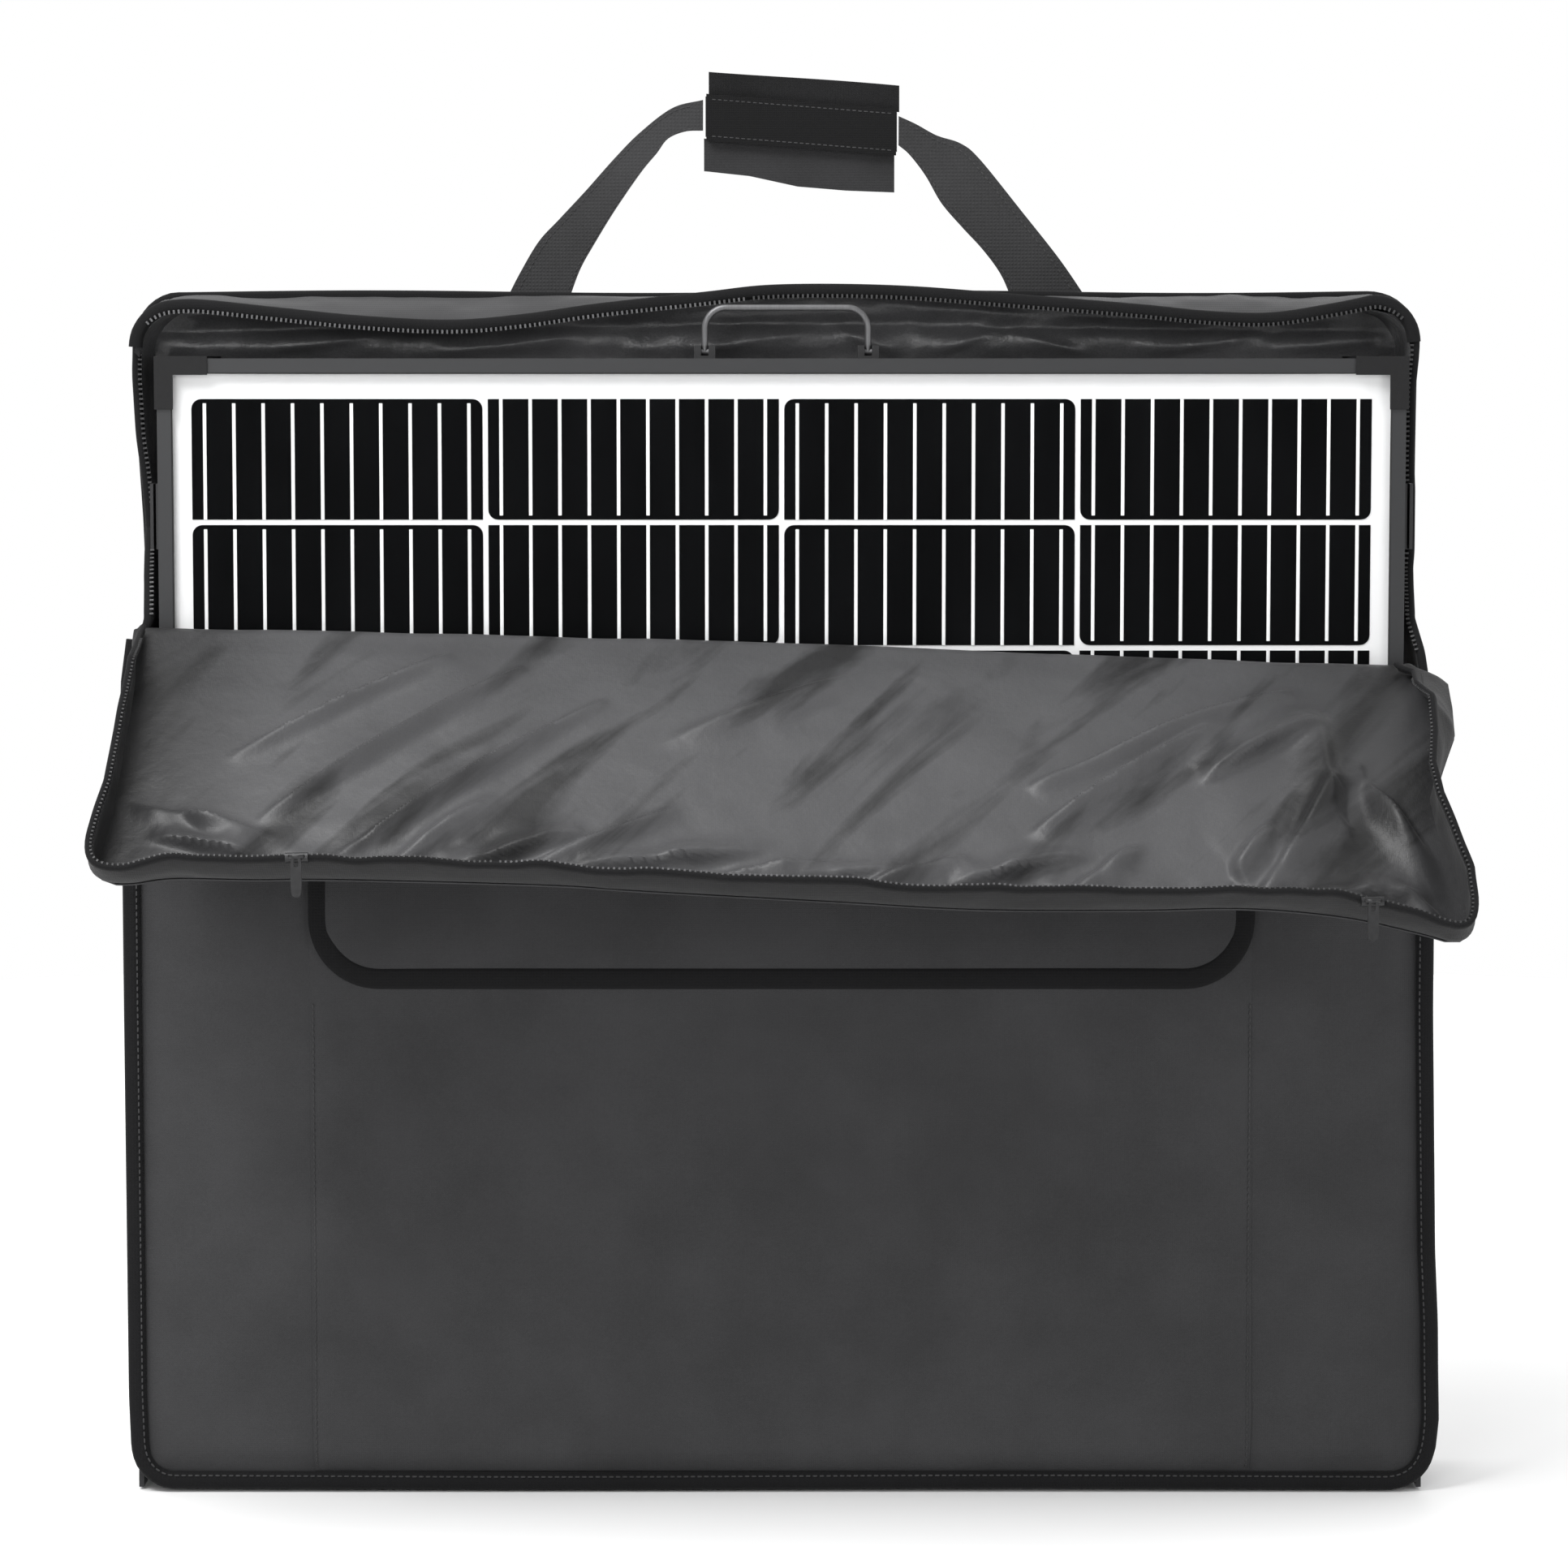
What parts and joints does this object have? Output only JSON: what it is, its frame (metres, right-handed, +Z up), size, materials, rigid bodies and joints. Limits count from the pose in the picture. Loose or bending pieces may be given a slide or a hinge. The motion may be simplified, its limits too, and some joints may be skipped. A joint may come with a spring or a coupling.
{
  "type": "solar suitcase kit",
  "caption": "Folded twin solar panel standing in a padded carry bag with its upper front unzipped and hanging open as a tray.",
  "frame": {"origin": "on the ground under the middle of the bag's floor", "axes": "+Z up, the bag's front faces -Y, +X to the viewer's right"},
  "size_m": [0.813, 0.2983, 0.8729],
  "materials": {
    "bag_fabric": "woven polyester over foam",
    "binding": "grosgrain tape",
    "lining": "shiny nylon",
    "webbing": "woven webbing",
    "hook_loop": "hook and loop",
    "zip_tape": "coil zip",
    "zip_metal": "satin black",
    "frame_alloy": "dark satin anodised",
    "cover_glass": "clear",
    "silicon": "dark cells",
    "white_sheet": "white",
    "guard_plastic": "moulded",
    "steel": "satin",
    "case_plastic": "moulded",
    "display_window": "window",
    "key_rubber": "moulded",
    "terminal_plastic": "moulded",
    "lead_jacket": "smooth"
  },
  "bodies": {
    "bag": {"back_wall": "bag_fabric", "front_wall": "bag_fabric", "bag_floor": "bag_fabric", "left_gusset": "bag_fabric", "right_gusset": "bag_fabric", "top_gusset": "lining", "front_binding": "binding", "back_binding": "binding", "front_pocket": "bag_fabric", "side_rim_zips": "zip_tape", "top_rim_zip": "zip_tape", "handle_patches": "webbing"},
    "pocket_lid": {"pocket_cover": "bag_fabric", "pocket_cover_piping": "binding"},
    "front_flap": {"flap_panel": "lining", "flap_hem": "bag_fabric", "flap_side_walls": "bag_fabric", "flap_zip": "zip_tape"},
    "left_slider": {"left_zip_slider": "zip_metal"},
    "right_slider": {"right_zip_slider": "zip_metal"},
    "left_pull": {"left_zip_pull": "zip_metal"},
    "right_pull": {"right_zip_pull": "zip_metal"},
    "carry_handle": {"left_strap": "webbing", "right_strap": "webbing", "grip_webbing": "webbing", "wrap_core": "hook_loop"},
    "upper_wing": {"wrap_upper_wing": "hook_loop"},
    "lower_wing": {"wrap_lower_wing": "hook_loop"},
    "panel_case": {"front_left_rail": "frame_alloy", "front_right_rail": "frame_alloy", "front_top_rail": "frame_alloy", "front_bottom_rail": "frame_alloy", "back_left_rail": "frame_alloy", "back_right_rail": "frame_alloy", "back_top_rail": "frame_alloy", "back_bottom_rail": "frame_alloy", "front_glass": "cover_glass", "back_glass": "cover_glass", "front_cells": "silicon", "back_cells": "silicon", "backsheets": "white_sheet", "corner_guards": "guard_plastic", "hinge_leaves": "steel", "hinge_pins": "steel", "bail_brackets": "steel", "latch_bases": "steel", "latch_loops": "steel", "latch_catches": "steel", "junction_boxes": "case_plastic", "controller_housing": "case_plastic", "controller_display": "display_window", "controller_terminals": "terminal_plastic", "inner_lead": "lead_jacket", "prop_legs": "frame_alloy", "leg_bolts": "steel"},
    "bail": {"bail_handle": "steel"},
    "left_latch": {"left_latch_lever": "steel"},
    "right_latch": {"right_latch_lever": "steel"},
    "left_button": {"left_control_button": "key_rubber"},
    "right_button": {"right_control_button": "key_rubber"}
  },
  "joints": [
    {"name": "suitcase_lift", "type": "slide", "parent": "bag", "child": "panel_case", "axis": [0, 0, 1], "range_m": [0, 0.78], "deforming": ["top_gusset", "top_rim_zip"]},
    {"name": "flap_close", "type": "hinge", "parent": "bag", "child": "front_flap", "pos_m": [0, -0.0465, 0.52], "axis": [-1, 0, 0], "range_deg": [0, 128]},
    {"name": "pocket_cover_lift", "type": "hinge", "parent": "bag", "child": "pocket_lid", "pos_m": [0, -0.0483, 0.47], "axis": [-1, 0, 0], "range_deg": [0, 55]},
    {"name": "left_slider_run", "type": "slide", "parent": "front_flap", "child": "left_slider", "axis": [1, 0, 0], "range_m": [-0.11, 0.26]},
    {"name": "right_slider_run", "type": "slide", "parent": "front_flap", "child": "right_slider", "axis": [1, 0, 0], "range_m": [-0.32, 0.048]},
    {"name": "left_pull_swing", "type": "hinge", "parent": "left_slider", "child": "left_pull", "pos_m": [-0.277, -0.24183, 0.40991], "axis": [-1, 0, 0], "range_deg": [-30, 100]},
    {"name": "right_pull_swing", "type": "hinge", "parent": "right_slider", "child": "right_pull", "pos_m": [0.338, -0.24183, 0.40991], "axis": [-1, 0, 0], "range_deg": [-30, 100]},
    {"name": "carry_handle_swing", "type": "hinge", "parent": "bag", "child": "carry_handle", "pos_m": [0, 0.05055, 0.7358], "axis": [-1, 0, 0], "range_deg": [0, 165]},
    {"name": "upper_wing_fold", "type": "hinge", "parent": "carry_handle", "child": "upper_wing", "pos_m": [0.012, 0.05055, 0.85845], "axis": [1, 0, 0], "range_deg": [0, 180]},
    {"name": "lower_wing_fold", "type": "hinge", "parent": "carry_handle", "child": "lower_wing", "pos_m": [0.012, 0.05055, 0.83155], "axis": [-1, 0, 0], "range_deg": [0, 180]},
    {"name": "bail_swing", "type": "hinge", "parent": "panel_case", "child": "bail", "pos_m": [0.003, -0.0175, 0.7033], "axis": [-1, 0, 0], "range_deg": [-90, 0]},
    {"name": "left_latch_open", "type": "hinge", "parent": "panel_case", "child": "left_latch", "pos_m": [-0.3851, -0.012, 0.603], "axis": [0, 0, 1], "range_deg": [-75, 0]},
    {"name": "right_latch_open", "type": "hinge", "parent": "panel_case", "child": "right_latch", "pos_m": [0.3851, -0.012, 0.603], "axis": [0, 0, -1], "range_deg": [-75, 0]},
    {"name": "left_button_press", "type": "slide", "parent": "panel_case", "child": "left_button", "axis": [0, -1, 0], "range_m": [0, 0.001], "stiffness_N_per_m": 300},
    {"name": "right_button_press", "type": "slide", "parent": "panel_case", "child": "right_button", "axis": [0, -1, 0], "range_m": [0, 0.001], "stiffness_N_per_m": 300}
  ]
}
